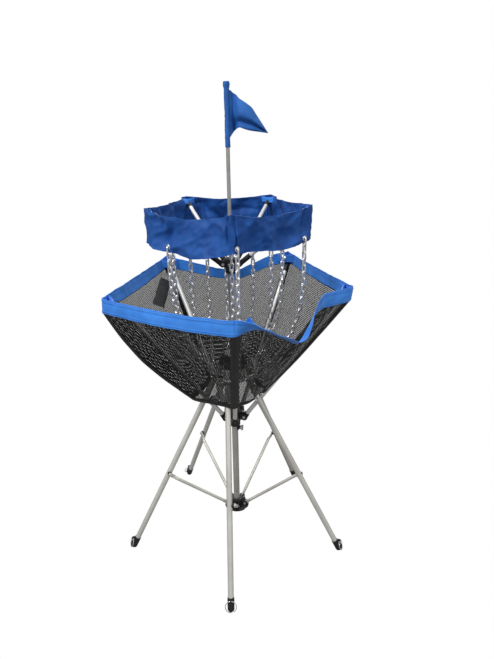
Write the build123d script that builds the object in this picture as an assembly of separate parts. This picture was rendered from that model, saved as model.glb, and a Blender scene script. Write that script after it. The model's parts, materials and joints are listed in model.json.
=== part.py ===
from build123d import *
import os
from math import cos, radians, sin, sqrt

# A portable disc golf basket that folds like an umbrella, in millimetres and degrees.
# Z is up, the pole stands on the Z axis, and the ground is at Z = 0.
# Each arm, leg and strut lies in an upright plane of its own: a member's local frame has
# X outwards from the pole, Y sideways (counter-clockwise seen from above) and Z up.

# ---- the five-fold layout
MEMBERS = 5
STEP = 360 / MEMBERS
ARM_AZIMUTH = 0.96
LEG_AZIMUTH = -1.11
LEG_OFFSET = -17.0
STRUT_OFFSET = 0.2
GAP = 0.3

# ---- pole, sleeve and flagpole
POLE_R = 9.5
POLE_WALL = 1.2
POLE_BOTTOM = 84.0
POLE_TOP = 690.0
SLEEVE_R = 15.5
SLEEVE_WALL = 3.0
SLEEVE_BOTTOM = 391.0
KNOB_AZIMUTH = 74.0
KNOB_Z = 372.0
KNOB_R = 8.5
UPPER_POLE_R = 8.0
UPPER_POLE_BOTTOM = 600.0
UPPER_POLE_TOP = 880.0
FLAGPOLE_R = 5.0
FLAGPOLE_BOTTOM = 838.0
FLAGPOLE_TOP = 1327.0
TUBE_WALL = 1.2

# ---- legs and struts
LEG_R = 8.0
LEG_PIVOT = (24.7, 591.1)
LEG_ANGLE = 27.93
FOOT_R = 9.5
FOOT_CENTRE_Z = 8.8
STRUT_R = 4.75
STRUT_PIVOT = (27.9, 96.9)
STRUT_SPOT = 390.0
BOSS_R = 6.5
BOSS_REACH = 12.0
HUB_R = 38.0
FOLDED_FOOT_R = 41.5

# ---- basket arms and band arms
ARM_R = 6.5
ARM_PIVOT = (30.8, 412.9)
ARM_TIP = (316.5, 811.3)
BAND_ARM_R = 5.5
BAND_ARM_PIVOT = (25.0, 881.0)
BAND_ARM_TIP = (201.5, 1026.6)

# ---- hinge ears and their pins
PIN_R = 2.5
PIN_PLAY = 0.05
EAR_THICKNESS = 2.9
EAR_PLAY = 0.25
HEAD_THICKNESS = 1.2
TONGUE = 5.0
STRUT_TONGUE = 2.5
BAND_TONGUE = 3.5

# ---- stake rings
RING_R = 15.0
RING_WIRE = 1.1
LUG_BACK = 22.0
LUG_REACH = 13.1
BLOCK_REACH = 11.4
RING_TILT = 8.0

# ---- cloth, each span as two straight runs that meet at its sagging middle
CLOTH = 2.0
CLOTH_INSET = 0.6
RIM_CORNER = 329.9
RIM_TOP = 830.0
RIM_HEIGHT = 38.0
RIM_SAG = (76.0, 14.0, 38.0, 14.0, 9.0)
RIM_LEAN = 0.2
NET_BOTTOM = 497.0
NET_OUTSET = 15.4
TOP_CORNER = 213.9
TOP_TOP = 1041.6
TOP_HEIGHT = 87.4
TOP_SAG = (12.0, 8.0, 8.0, 8.0, 14.0)

# ---- chains: steel bars as heavy per metre as the links they stand for
CHAIN_BAR_R = 4.1
GROMMETS = 6
GROMMET_AZIMUTH = 5.0
GROMMET_R = 7.0
CHAIN_TOP = 934.0
CHAIN_BOTTOM = 562.0
CHAIN_BOTTOM_R = 72.0
INNER_CHAIN_R = 110.0
CHAIN_RING_R = 63.0
CHAIN_RING_Z = 556.0

# ---- pennant, in the upright plane through the pole and +X
FLAG_OUTLINE = ((7.6, 1312.0), (101.0, 1212.0), (7.6, 1199.0))
FLAG_SLEEVE = (1178.0, 1329.7)

UP = (Align.CENTER, Align.CENTER, Align.MIN)
os.makedirs("parts", exist_ok=True)


# ---- helpers
def save(name, *solids):
    """Writes one node's solids to its own STEP file."""
    flat = [s for shape in solids for s in shape.solids()]
    export_step(Compound(children=flat) if len(flat) > 1 else flat[0], f"parts/{name}.step")


def turned(azimuth):
    """A member's local frame, set at its azimuth; 0 is towards -Y and 90 is towards +X."""
    return Rot(0, 0, azimuth - 90)


def arm_place(k):
    """The local frame of basket arm k and of band arm k."""
    return turned(ARM_AZIMUTH + STEP * k)


def leg_place(k):
    """The local frame of leg k and of its strut."""
    return turned(LEG_AZIMUTH + STEP * k)


def run(start, end, offset=0.0):
    """A plane at start whose Z runs to end; both are (outwards, up), offset sideways."""
    return Plane(
        origin=(start[0], offset, start[1]),
        x_dir=(0, 1, 0),
        z_dir=(end[0] - start[0], 0, end[1] - start[1]),
    )


def span(start, end):
    """The length from start to end, both (outwards, up)."""
    return sqrt((end[0] - start[0]) ** 2 + (end[1] - start[1]) ** 2)


def bar(radius, low, high):
    """A round bar along Z from low to high."""
    return Pos(0, 0, low) * Cylinder(radius, high - low, align=UP)


def pipe(radius, bore, low, high):
    """A round pipe along Z from low to high."""
    return bar(radius, low, high) - bar(bore, low - 1, high + 1)


def crosswise(radius, low, high):
    """A round bar along X from low to high."""
    return Pos(low, 0, 0) * Rot(0, 90, 0) * Cylinder(radius, high - low, align=UP)


def knuckle(half, radius, tube_radius, bore):
    """A hinge end in a run plane: a tongue round the pin, a shoulder, and a plug inside the tube."""
    blade = Box(2 * half, 2 * radius, 14, align=UP)
    eye = crosswise(radius, -half, half)
    plug = bar(tube_radius, 12, 16) + bar(bore, 15, 32)
    return blade + eye + plug - crosswise(PIN_R + PIN_PLAY, -half - 1, half + 1)


def ears(pivot, offset, half, radius, inner, outer, low, high):
    """A pair of ears in the local frame, each a web from inner to outer and a disc round the pin."""
    shape = None
    for side in (-1, 1):
        middle = offset + side * (half + EAR_PLAY + EAR_THICKNESS / 2)
        size = (outer - inner, EAR_THICKNESS, high - low)
        web = Pos((inner + outer) / 2, middle, (low + high) / 2) * Box(*size)
        disc = Pos(pivot[0], middle, pivot[1]) * Rot(90, 0, 0) * Cylinder(radius, EAR_THICKNESS)
        shape = web + disc if shape is None else shape + web + disc
    hole = Pos(pivot[0], offset, pivot[1]) * Rot(90, 0, 0) * Cylinder(PIN_R, 60)
    return shape - hole


def pin(pivot, offset, half):
    """A headed hinge pin in the local frame, through both ears."""
    reach = half + EAR_PLAY + EAR_THICKNESS
    shape = Cylinder(PIN_R, 2 * reach)
    for side in (-1, 1):
        shape += Pos(0, 0, side * (reach + HEAD_THICKNESS / 2)) * Cylinder(1.6 * PIN_R, HEAD_THICKNESS)
    return Pos(pivot[0], offset, pivot[1]) * Rot(90, 0, 0) * shape


def slab(points, thickness=CLOTH):
    """A flat panel: its convex outer outline is drawn in by CLOTH_INSET, and it is thick towards the pole."""
    corners = [Vector(*p) for p in points]
    middle = sum(corners, Vector(0, 0, 0)) / len(corners)
    drawn = [c + (middle - c).normalized() * CLOTH_INSET for c in corners]
    face = Face(Wire.make_polygon(drawn, close=True))
    normal = face.normal_at()
    inwards = -1 if normal.dot(Vector(middle.X, middle.Y, 0)) > 0 else 1
    return Solid.extrude(face, normal * thickness * inwards)


def spot(azimuth, radius, height):
    """A point at an azimuth, a distance from the pole and a height."""
    a = radians(azimuth)
    return (radius * sin(a), -radius * cos(a), height)


# ---- values that follow from the dimensions
def leg_point(distance):
    """The point on a leg's centre line at a distance from its pivot, as (outwards, up)."""
    a = radians(LEG_ANGLE)
    return (LEG_PIVOT[0] + distance * sin(a), LEG_PIVOT[1] - distance * cos(a))


LEG_LENGTH = (LEG_PIVOT[1] - FOOT_CENTRE_Z) / cos(radians(LEG_ANGLE))
FOOT = leg_point(LEG_LENGTH)
STRUT_END = leg_point(STRUT_SPOT)
STRUT_LENGTH = span(STRUT_PIVOT, STRUT_END)
MIDDLE_SHARE = cos(radians(STEP / 2))


# ---- root: pole, bottom hub and the pole's top collar
def lower_pole():
    shape = pipe(POLE_R, POLE_R - POLE_WALL, POLE_BOTTOM, POLE_TOP)
    rivet_hole = Pos(0, 0, 140) * Rot(90, 0, 0) * Cylinder(1.9, POLE_R + 2, align=UP)
    knob_hole = Pos(0, 0, KNOB_Z) * turned(KNOB_AZIMUTH) * crosswise(2.4, 0, POLE_R + 2)
    return shape - rivet_hole - knob_hole


def lower_hub():
    """A shallow bowl under the pole with the struts' ears, hollowed where the folded feet lie."""
    core = bar(18, 85, 112) + bar(HUB_R, 85, 90) + Pos(0, 0, 79) * Cone(30, HUB_R, 6, align=UP)
    for k in range(MEMBERS):
        core += leg_place(k) * ears(STRUT_PIVOT, STRUT_OFFSET, STRUT_TONGUE, 9, 12, STRUT_PIVOT[0], 88, 104)
        core -= leg_place(k) * Pos(FOLDED_FOOT_R, LEG_OFFSET, 0) * bar(FOOT_R + 1.5, 78, 91)
    return core - bar(POLE_R, POLE_BOTTOM, 113)


def lower_pins():
    return [leg_place(k) * pin(STRUT_PIVOT, STRUT_OFFSET, STRUT_TONGUE) for k in range(MEMBERS)]


def pole_collar():
    """The ring on the pole's mouth, no wider than the pole, so that the sleeve passes over it."""
    shape = bar(POLE_R, POLE_TOP, POLE_TOP + 6)
    return shape - bar(UPPER_POLE_R + GAP, POLE_TOP - 1, POLE_TOP + 7)


# ---- sleeve that slides on the pole, with the arm hub and the leg hub
def sleeve_tube():
    return pipe(SLEEVE_R, SLEEVE_R - SLEEVE_WALL, SLEEVE_BOTTOM, 601)


def arm_hub():
    hub = bar(19, 398, 427)
    for k in range(MEMBERS):
        hub += arm_place(k) * ears(ARM_PIVOT, 0, TONGUE, 10.5, 16, ARM_PIVOT[0], 404, 421)
    hub -= bar(SLEEVE_R, 397, 428)
    collar = bar(16.5, 381, SLEEVE_BOTTOM)
    collar += turned(KNOB_AZIMUTH) * Pos(6, 0, 374) * Box(14, 12, 18)
    collar += Pos(0, 0, KNOB_Z) * turned(KNOB_AZIMUTH) * crosswise(5.5, 8, 17)
    collar -= bar(POLE_R + GAP, 363, SLEEVE_BOTTOM + 1)
    collar -= Pos(0, 0, KNOB_Z) * turned(KNOB_AZIMUTH) * crosswise(2.3, 0, 20)
    return hub, collar


def leg_hub():
    """A plate with the ears hanging under it."""
    hub = bar(31, 601, 615) + bar(27, 614, 617)
    near, far = LEG_PIVOT[0] - 8, LEG_PIVOT[0] + 8
    for k in range(MEMBERS):
        hub += leg_place(k) * ears(LEG_PIVOT, LEG_OFFSET, TONGUE, 8, near, far, LEG_PIVOT[1], 602)
    return hub - bar(POLE_R + GAP, 580, 618)


def leg_hub_cap():
    """The domed cap on the leg hub."""
    profile = make_face(Polyline((0, 617), (26, 617), (24, 621), (15, 626), (0, 627), (0, 617)))
    return revolve(Plane.XZ * profile, Axis.Z) - bar(POLE_R + GAP, 616, 628)


def sleeve_pins():
    arm_pins = [arm_place(k) * pin(ARM_PIVOT, 0, TONGUE) for k in range(MEMBERS)]
    return arm_pins + [leg_place(k) * pin(LEG_PIVOT, LEG_OFFSET, TONGUE) for k in range(MEMBERS)]


def lock_knob():
    shape = crosswise(2.0, POLE_R + GAP, 20) + crosswise(6.0, 17.6, 22) + crosswise(KNOB_R, 21, 24.5)
    return Pos(0, 0, KNOB_Z) * turned(KNOB_AZIMUTH) * shape


# ---- legs and struts
def leg_tube(k):
    plane = run(LEG_PIVOT, FOOT, LEG_OFFSET)
    return leg_place(k) * (plane * pipe(LEG_R, LEG_R - TUBE_WALL, 16, LEG_LENGTH - 12))


def leg_fittings(k):
    """The hinge end, the boss beside which the strut pivots, and the boot with its ring lug."""
    plane = run(LEG_PIVOT, FOOT, LEG_OFFSET)
    top = plane * knuckle(TONGUE, 8, LEG_R, LEG_R - TUBE_WALL)
    boss = Pos(0, 0, STRUT_SPOT) * crosswise(BOSS_R, 0, BOSS_REACH)
    boss = plane * (boss - bar(LEG_R, STRUT_SPOT - 12, STRUT_SPOT + 12))
    boot = bar(FOOT_R, LEG_LENGTH - 28, LEG_LENGTH) + Pos(0, 0, LEG_LENGTH) * Sphere(FOOT_R)
    boot += Pos(0, BLOCK_REACH / 2, LEG_LENGTH - 10.5) * Box(13, BLOCK_REACH, 27)
    lug_z = LEG_LENGTH - LUG_BACK
    lug = Pos(0, FOOT_R + 1.5, lug_z) * Box(4, 10, 9)
    lug += Pos(0, LUG_REACH, lug_z) * crosswise(4.5, -2, 2)
    boot = boot + lug - bar(LEG_R, LEG_LENGTH - 29, LEG_LENGTH - 12)
    boot -= Pos(0, LUG_REACH, lug_z) * crosswise(RING_WIRE + 0.9, -3, 3)
    boot = plane * boot
    boot -= Pos(FOOT[0], LEG_OFFSET, -10) * Box(60, 60, 20)
    return [leg_place(k) * solid for solid in (top, boss, boot)]


def ring_plane():
    """The plane of a stake ring: origin at its lug, Z down along the ring, Y away from the boot."""
    plane = run(LEG_PIVOT, FOOT, LEG_OFFSET)
    return plane * Pos(0, LUG_REACH, LEG_LENGTH - LUG_BACK) * Rot(RING_TILT, 0, 0)


def stake_ring(k):
    shape = Pos(0, 0, RING_R) * Rot(90, 0, 0) * Torus(RING_R, RING_WIRE)
    return leg_place(k) * ring_plane() * shape


def flattened(plane, flat, wide, middle, start, full):
    """A tube's end pressed flat: from a flat oblong at start to the round tube at full."""
    oblong = plane * Pos(middle, 0, start) * Rectangle(flat, wide)
    circle = plane * Pos(0, 0, full) * Circle(STRUT_R)
    return loft([oblong, circle])


def strut(k):
    """The tube with both ends pressed flat, and the rivet at its upper end."""
    plane = run(STRUT_PIVOT, STRUT_END, STRUT_OFFSET)
    flat = 3.0
    middle = flat / 2 - STRUT_R
    low = plane * (Box(2 * STRUT_TONGUE, 10, 13, align=UP) + crosswise(5, -STRUT_TONGUE, STRUT_TONGUE))
    low -= plane * crosswise(PIN_R + PIN_PLAY, -9, 9)
    low += flattened(plane, 2 * STRUT_TONGUE, 10, 0, 13, 25)
    top = plane * Pos(middle, 0, STRUT_LENGTH - 13) * Box(flat, 11, 13, align=UP)
    top += plane * Pos(0, 0, STRUT_LENGTH) * crosswise(5.5, -STRUT_R, flat - STRUT_R)
    top += flattened(plane, flat, 11, middle, STRUT_LENGTH - 13, STRUT_LENGTH - 26)
    tube = plane * bar(STRUT_R, 25, STRUT_LENGTH - 26)
    rivet = plane * Pos(0, 0, STRUT_LENGTH) * crosswise(4.0, flat - STRUT_R, flat - STRUT_R + 1.8)
    return leg_place(k) * (low + tube + top), leg_place(k) * rivet


# ---- basket arms and band arms
def tip_cap(plane, radius, length, reach):
    """A closed cap over a tube's far end."""
    shape = bar(radius + 1.1, length - reach, length)
    shape = fillet(shape.edges().group_by(Axis.Z)[-1], radius * 0.8)
    return plane * (shape - bar(radius, length - reach - 1, length - 3))


def arm_tube(k):
    length = span(ARM_PIVOT, ARM_TIP)
    plane = run(ARM_PIVOT, ARM_TIP)
    return arm_place(k) * (plane * pipe(ARM_R, ARM_R - TUBE_WALL, 16, length - 3))


def arm_fittings(k):
    length = span(ARM_PIVOT, ARM_TIP)
    plane = run(ARM_PIVOT, ARM_TIP)
    low = plane * knuckle(TONGUE, 8.5, ARM_R, ARM_R - TUBE_WALL)
    return arm_place(k) * low, arm_place(k) * tip_cap(plane, ARM_R, length, 24)


def band_arm_tube(k):
    length = span(BAND_ARM_PIVOT, BAND_ARM_TIP)
    plane = run(BAND_ARM_PIVOT, BAND_ARM_TIP)
    return arm_place(k) * (plane * pipe(BAND_ARM_R, BAND_ARM_R - 1, 16, length - 3))


def band_arm_fittings(k):
    length = span(BAND_ARM_PIVOT, BAND_ARM_TIP)
    plane = run(BAND_ARM_PIVOT, BAND_ARM_TIP)
    collar = bar(BAND_ARM_R + 1.5, 15, 40) - bar(BAND_ARM_R, 16, 41)
    low = plane * (knuckle(BAND_TONGUE, 7, BAND_ARM_R, BAND_ARM_R - 1) + collar)
    return arm_place(k) * low, arm_place(k) * tip_cap(plane, BAND_ARM_R, length, 20)


# ---- top: telescoping pole, band hub and flagpole
def upper_pole():
    return pipe(UPPER_POLE_R, UPPER_POLE_R - TUBE_WALL, UPPER_POLE_BOTTOM, UPPER_POLE_TOP)


def top_hub():
    """The band hub, and the plug inside the pole on which the flagpole stands."""
    hub = bar(14, 855, 868) + bar(17, 868, 895)
    for k in range(MEMBERS):
        hub += arm_place(k) * ears(BAND_ARM_PIVOT, 0, BAND_TONGUE, 8, 12, BAND_ARM_PIVOT[0], 874, 888)
    hub -= bar(UPPER_POLE_R, 854, UPPER_POLE_TOP)
    hub -= bar(FLAGPOLE_R + GAP, 879, 896)
    plug = bar(UPPER_POLE_R - TUBE_WALL, FLAGPOLE_BOTTOM - 10, FLAGPOLE_BOTTOM - GAP)
    return hub, plug


def top_pins():
    return [arm_place(k) * pin(BAND_ARM_PIVOT, 0, BAND_TONGUE) for k in range(MEMBERS)]


def flagpole():
    return pipe(FLAGPOLE_R, FLAGPOLE_R - 1, FLAGPOLE_BOTTOM, FLAGPOLE_TOP)


def flag():
    low, high = FLAG_SLEEVE
    sleeve = bar(7.4, low, high) - bar(FLAGPOLE_R + 0.1, low - 1, FLAGPOLE_TOP + 0.2)
    outline = [(x, -CLOTH / 2, z) for x, z in FLAG_OUTLINE]
    face = Face(Wire.make_polygon([Vector(*p) for p in outline], close=True))
    return sleeve, Solid.extrude(face, Vector(0, CLOTH, 0))


# ---- cloth
def band_halves(corner, top, height, sags, lean=0.0):
    """An upright cloth band round five corners: two strips to each span, drawn in by lean where it sags."""
    strips = []
    for k in range(MEMBERS):
        radius = (corner - lean * sags[k]) * MIDDLE_SHARE
        middle = spot(ARM_AZIMUTH + STEP * (k + 0.5), radius, top - sags[k])
        for side in (0, 1):
            end = spot(ARM_AZIMUTH + STEP * (k + side), corner, top)
            low_middle = (middle[0], middle[1], middle[2] - height)
            low_end = (end[0], end[1], end[2] - height)
            strips.append(slab([end, middle, low_middle, low_end]))
    return strips


def arm_radius(height):
    """How far a basket arm's centre line is from the pole at a height."""
    slope = (ARM_TIP[0] - ARM_PIVOT[0]) / (ARM_TIP[1] - ARM_PIVOT[1])
    return ARM_PIVOT[0] + slope * (height - ARM_PIVOT[1])


def basket_net():
    """The net's panels below the rim, two flat triangles to each half span, open at the top and bottom."""
    top = RIM_TOP - RIM_HEIGHT - 2
    top_corner = arm_radius(top) + NET_OUTSET
    low_corner = arm_radius(NET_BOTTOM) + NET_OUTSET
    panels = []
    for k in range(MEMBERS):
        azimuth = ARM_AZIMUTH + STEP * (k + 0.5)
        edge = (top_corner - RIM_LEAN * RIM_SAG[k]) * MIDDLE_SHARE
        high_middle = spot(azimuth, edge, top - RIM_SAG[k])
        low_middle = spot(azimuth, low_corner * MIDDLE_SHARE, NET_BOTTOM)
        for side in (0, 1):
            high_end = spot(ARM_AZIMUTH + STEP * (k + side), top_corner, top)
            low_end = spot(ARM_AZIMUTH + STEP * (k + side), low_corner, NET_BOTTOM)
            for outline in ((high_end, high_middle, low_end), (high_middle, low_middle, low_end)):
                panels.append(slab(outline))
    return panels


# ---- chains and their grommets
def band_spot(azimuth):
    """The point of the top band's lower edge at an azimuth, and the azimuth its strip faces."""
    turn = (azimuth - ARM_AZIMUTH) % 360
    k = int(turn // STEP)
    inside = turn - STEP * k
    radius = TOP_CORNER * MIDDLE_SHARE / cos(radians(inside - STEP / 2))
    share = 1 - abs(inside - STEP / 2) / (STEP / 2)
    return radius, TOP_TOP - TOP_HEIGHT - share * TOP_SAG[k], ARM_AZIMUTH + STEP * (k + 0.5)


def grommets():
    eyelets = []
    for i in range(GROMMETS):
        azimuth = GROMMET_AZIMUTH + 360 / GROMMETS * i
        radius, low, facing = band_spot(azimuth)
        place = Pos(*spot(azimuth, radius, low + 11)) * turned(facing)
        eyelets.append(place * (crosswise(GROMMET_R, CLOTH + 0.2, CLOTH + 1.4) - crosswise(3.5, 0, 9)))
    return eyelets


def leaning_bar(start, end):
    """A round bar between two points."""
    plane = Plane(origin=start, z_dir=Vector(*end) - Vector(*start))
    return plane * bar(CHAIN_BAR_R, 0, (Vector(*end) - Vector(*start)).length)


def chains():
    bars = []
    for i in range(GROMMETS):
        azimuth = GROMMET_AZIMUTH + 360 / GROMMETS * i
        radius = band_spot(azimuth)[0] - 8
        foot = spot(azimuth + 6, CHAIN_BOTTOM_R, CHAIN_BOTTOM)
        bars.append(leaning_bar(spot(azimuth, radius, CHAIN_TOP), foot))
    for k in range(MEMBERS):
        azimuth = ARM_AZIMUTH + STEP * k
        foot = spot(azimuth + 24, CHAIN_BOTTOM_R, CHAIN_BOTTOM)
        bars.append(leaning_bar(spot(azimuth, INNER_CHAIN_R, CHAIN_TOP), foot))
    ring = Pos(0, 0, CHAIN_RING_Z) * Torus(CHAIN_RING_R, CHAIN_BAR_R)
    return bars + [ring]


# ---- write every node
save("lower_pole", lower_pole())
save("lower_hub", lower_hub())
save("lower_pins", *lower_pins())
save("pole_collar", pole_collar())
save("sleeve_tube", sleeve_tube())
save("arm_hub", *arm_hub())
save("leg_hub", leg_hub())
save("leg_hub_cap", leg_hub_cap())
save("sleeve_pins", *sleeve_pins())
save("lock_knob", lock_knob())
save("upper_pole", upper_pole())
save("top_hub", *top_hub())
save("top_pins", *top_pins())
save("flagpole", flagpole())
save("flag", *flag())
save("rim_band", *band_halves(RIM_CORNER, RIM_TOP, RIM_HEIGHT, RIM_SAG, RIM_LEAN))
save("basket_net", *basket_net())
save("top_band", *band_halves(TOP_CORNER, TOP_TOP, TOP_HEIGHT, TOP_SAG))
save("grommets", *grommets())
save("chains", *chains())
for k in range(MEMBERS):
    save(f"leg_tube_{k}", leg_tube(k))
    save(f"leg_fittings_{k}", *leg_fittings(k))
    save(f"stake_ring_{k}", stake_ring(k))
    save(f"strut_{k}", *strut(k))
    save(f"arm_tube_{k}", arm_tube(k))
    save(f"arm_fittings_{k}", *arm_fittings(k))
    save(f"band_arm_tube_{k}", band_arm_tube(k))
    save(f"band_arm_fittings_{k}", *band_arm_fittings(k))
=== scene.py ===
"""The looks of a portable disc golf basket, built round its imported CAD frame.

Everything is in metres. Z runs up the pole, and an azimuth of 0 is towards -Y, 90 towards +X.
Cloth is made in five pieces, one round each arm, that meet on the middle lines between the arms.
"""

import json
import math
import random

import bpy
from mathutils import Matrix, Vector, noise


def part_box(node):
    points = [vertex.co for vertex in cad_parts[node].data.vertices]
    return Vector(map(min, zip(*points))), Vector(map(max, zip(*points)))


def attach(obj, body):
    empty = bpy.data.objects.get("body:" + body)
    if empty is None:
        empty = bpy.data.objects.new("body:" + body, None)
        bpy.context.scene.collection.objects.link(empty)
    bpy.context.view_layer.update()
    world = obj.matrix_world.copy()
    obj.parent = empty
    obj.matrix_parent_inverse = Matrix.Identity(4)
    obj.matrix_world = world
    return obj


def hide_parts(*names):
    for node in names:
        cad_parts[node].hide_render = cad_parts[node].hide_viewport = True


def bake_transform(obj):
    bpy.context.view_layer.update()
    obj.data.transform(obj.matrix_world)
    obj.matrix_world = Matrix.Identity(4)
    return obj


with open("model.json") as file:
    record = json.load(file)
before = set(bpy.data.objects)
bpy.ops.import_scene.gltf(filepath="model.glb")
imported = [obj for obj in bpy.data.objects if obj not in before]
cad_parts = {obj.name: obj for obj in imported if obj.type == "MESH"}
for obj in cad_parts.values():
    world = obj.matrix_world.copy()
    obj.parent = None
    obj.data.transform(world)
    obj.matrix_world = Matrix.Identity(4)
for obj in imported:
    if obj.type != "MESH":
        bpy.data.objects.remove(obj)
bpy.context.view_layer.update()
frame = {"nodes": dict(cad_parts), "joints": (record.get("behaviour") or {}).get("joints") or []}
random.seed(7)

# ---- five-fold layout
MEMBERS = 5
STEP = 72.0
HALF = math.radians(STEP / 2)
UP = Vector((0, 0, 1))
joints = {joint["name"]: joint for joint in frame["joints"]}
arm_pivot = Vector(joints["arm_hinge_0"]["pos_m"])
band_arm_pivot = Vector(joints["band_arm_hinge_0"]["pos_m"])
ARM_AZIMUTH = math.degrees(math.atan2(arm_pivot.x, -arm_pivot.y))
ARM_PIVOT_R = arm_pivot.xy.length
ARM_SLOPE = 0.7171
BAND_ARM_SLOPE = 0.8249
BAND_ARM_PIVOT_R = band_arm_pivot.xy.length

# ---- cloth sizes, from the CAD solids that the cloth replaces
INSET = 0.0006
rim_low, rim_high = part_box("rim_band")
RIM_TOP = rim_high.z + INSET
RIM_HEIGHT = 0.038
RIM_CORNER = -rim_low.y / math.cos(math.radians(ARM_AZIMUTH)) + INSET
RIM_ROUND = 0.012
RIM_LEAN = 0.2
CORNER_REACH = (0.0, 0.0, 0.0, 0.016, 0.024)
CORNER_LIFT = (0.002, 0.005, 0.022, 0.013, -0.006)
top_low, top_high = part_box("top_band")
TOP_TOP = top_high.z + INSET
TOP_HEIGHT = 0.0874
TOP_CORNER = -top_low.y / math.cos(math.radians(ARM_AZIMUTH)) + INSET
TOP_ROUND = 0.024
HEM_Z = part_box("basket_net")[0].z - 0.010
NET_OUTSET = 0.0154
HEM_REACH = (0.0, 0.0, 0.0, 0.008, 0.029)
HEM_CORNER = ARM_PIVOT_R + ARM_SLOPE * (HEM_Z - arm_pivot.z) + NET_OUTSET
CLOTH = 0.0016

# ---- chain
LINK_LENGTH = 0.027
LINK_WIDTH = 0.013
WIRE_R = 0.0024
PITCH = LINK_LENGTH - 4 * WIRE_R
# strands are parted into separate pieces above SPLIT_Z, between SPLIT_Z and FOLD_Z, and below FOLD_Z
SPLIT_Z = 0.79
FOLD_Z = 0.71
# the larger the number, the longer a strand hangs straight before it turns in
OUTER_HANG = (5.0, 3.4, 5.0, 5.0, 5.0, 3.0)
INNER_HANG = 5.0
OUTER_TURN = 6
INNER_TURN = 24
INNER_REACH = 0.110
SPLIT_RING_R = 0.0088
SPLIT_RING_WIRE = 0.0012
RING_Z = 0.556
RING_R = 0.0641
GROMMETS = 6
GROMMET_AZIMUTH = 5.0
EYELET_RISE = 0.011


# ---- small tools
def directions(azimuth):
    """Outwards and sideways (counter-clockwise from above) at an azimuth in degrees."""
    a = math.radians(azimuth)
    return Vector((math.sin(a), -math.cos(a), 0)), Vector((math.cos(a), math.sin(a), 0))


def arm_directions(k):
    return directions(ARM_AZIMUTH + STEP * k)


def spot(azimuth, radius, height):
    return directions(azimuth)[0] * radius + UP * height


def curve(table, x):
    """A smooth line through (x, y) pairs, read at x."""
    last = len(table) - 1
    if x <= table[0][0]:
        return table[0][1]
    for i in range(last):
        (x0, y0), (x1, y1) = table[i], table[i + 1]
        if x <= x1:
            before = table[i - 1] if i else table[i]
            after = table[i + 2] if i + 2 <= last else table[i + 1]
            slope0 = (y1 - before[1]) / (x1 - before[0])
            slope1 = (after[1] - y0) / (after[0] - x0)
            t, width = (x - x0) / (x1 - x0), x1 - x0
            return (
                (2 * t**3 - 3 * t**2 + 1) * y0
                + (t**3 - 2 * t**2 + t) * slope0 * width
                + (3 * t**2 - 2 * t**3) * y1
                + (t**3 - t**2) * slope1 * width
            )
    return table[last][1]


def wave(point, frequency, seed=0.0):
    """Smooth noise from -1 to 1 in space."""
    return noise.noise(point * frequency + Vector((seed, seed * 1.7, -seed)))


def crease(point, frequency, seed=0.0):
    """Noise with sharp ridges, from -1 to 1."""
    return 1 - 4 * abs(wave(point, frequency, seed))


def smooth(t):
    t = min(1.0, max(0.0, t))
    return t * t * (3 - 2 * t)


class Shape:
    """Vertices, faces and their UVs, gathered before they become one mesh."""

    def __init__(self):
        self.points, self.faces, self.uvs = [], [], []

    def grid(self, rows, uv=None, closed=False):
        """Faces between rows of points; uv(i, j, side) gives each corner's UV."""
        base = len(self.points)
        wide = len(rows[0])
        for row in rows:
            self.points.extend(row)
        for i in range(len(rows) - 1):
            for j in range(wide if closed else wide - 1):
                nxt = (j + 1) % wide
                quad = ((i, j), (i, nxt), (i + 1, nxt), (i + 1, j))
                self.faces.append([base + a * wide + b for a, b in quad])
                self.uvs.append([uv(a, b, j) for a, b in quad] if uv else None)

    def tube(self, path, radius, sides=8, closed=False):
        """A round tube along points; its frame is carried along without twist."""
        count = len(path)
        tangents = []
        for i in range(count):
            ahead = path[(i + 1) % count] if closed or i + 1 < count else path[i]
            behind = path[i - 1] if closed or i else path[i]
            tangents.append((ahead - behind).normalized())
        across = tangents[0].orthogonal().normalized()
        rows = []
        for point, tangent in zip(path, tangents):
            across = (across - tangent * across.dot(tangent)).normalized()
            other = tangent.cross(across)
            rows.append(
                [
                    point
                    + radius * (across * math.cos(a) + other * math.sin(a))
                    for a in (2 * math.pi * n / sides for n in range(sides))
                ]
            )
        if closed:
            rows.append(rows[0])
        self.grid(rows, closed=True)
        if not closed:
            base = len(self.points) - len(rows) * sides
            self.faces.append([base + n for n in range(sides)][::-1])
            self.faces.append([len(self.points) - sides + n for n in range(sides)])
            self.uvs += [None, None]

    def piece(self, name, material, solid=0.0, offset=-1.0):
        mesh = bpy.data.meshes.new(name)
        mesh.from_pydata([tuple(p) for p in self.points], [], self.faces)
        if any(self.uvs):
            layer = mesh.uv_layers.new(name="cloth")
            for polygon, uvs in zip(mesh.polygons, self.uvs):
                for loop, uv in zip(polygon.loop_indices, uvs or [(0, 0)] * 8):
                    layer.data[loop].uv = uv
        mesh.polygons.foreach_set("use_smooth", [True] * len(mesh.polygons))
        mesh.materials.append(material)
        mesh.update()
        piece = bpy.data.objects.new(name, mesh)
        bpy.context.scene.collection.objects.link(piece)
        if solid:
            thicken(piece, solid, offset)
        return piece


def thicken(piece, thickness, offset):
    """Gives a sheet its thickness, with crisp cut edges."""
    thick = piece.modifiers.new("thickness", "SOLIDIFY")
    thick.thickness = thickness
    thick.offset = offset
    solid = bpy.data.meshes.new_from_object(piece.evaluated_get(bpy.context.evaluated_depsgraph_get()))
    solid.name = piece.name
    piece.modifiers.clear()
    piece.data = solid
    solid.set_sharp_from_angle(angle=math.radians(55))


# ---- materials
def principled(name):
    material = bpy.data.materials.new(name)
    material.use_nodes = True
    tree = material.node_tree
    return material, tree, tree.nodes["Principled BSDF"]


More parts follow.
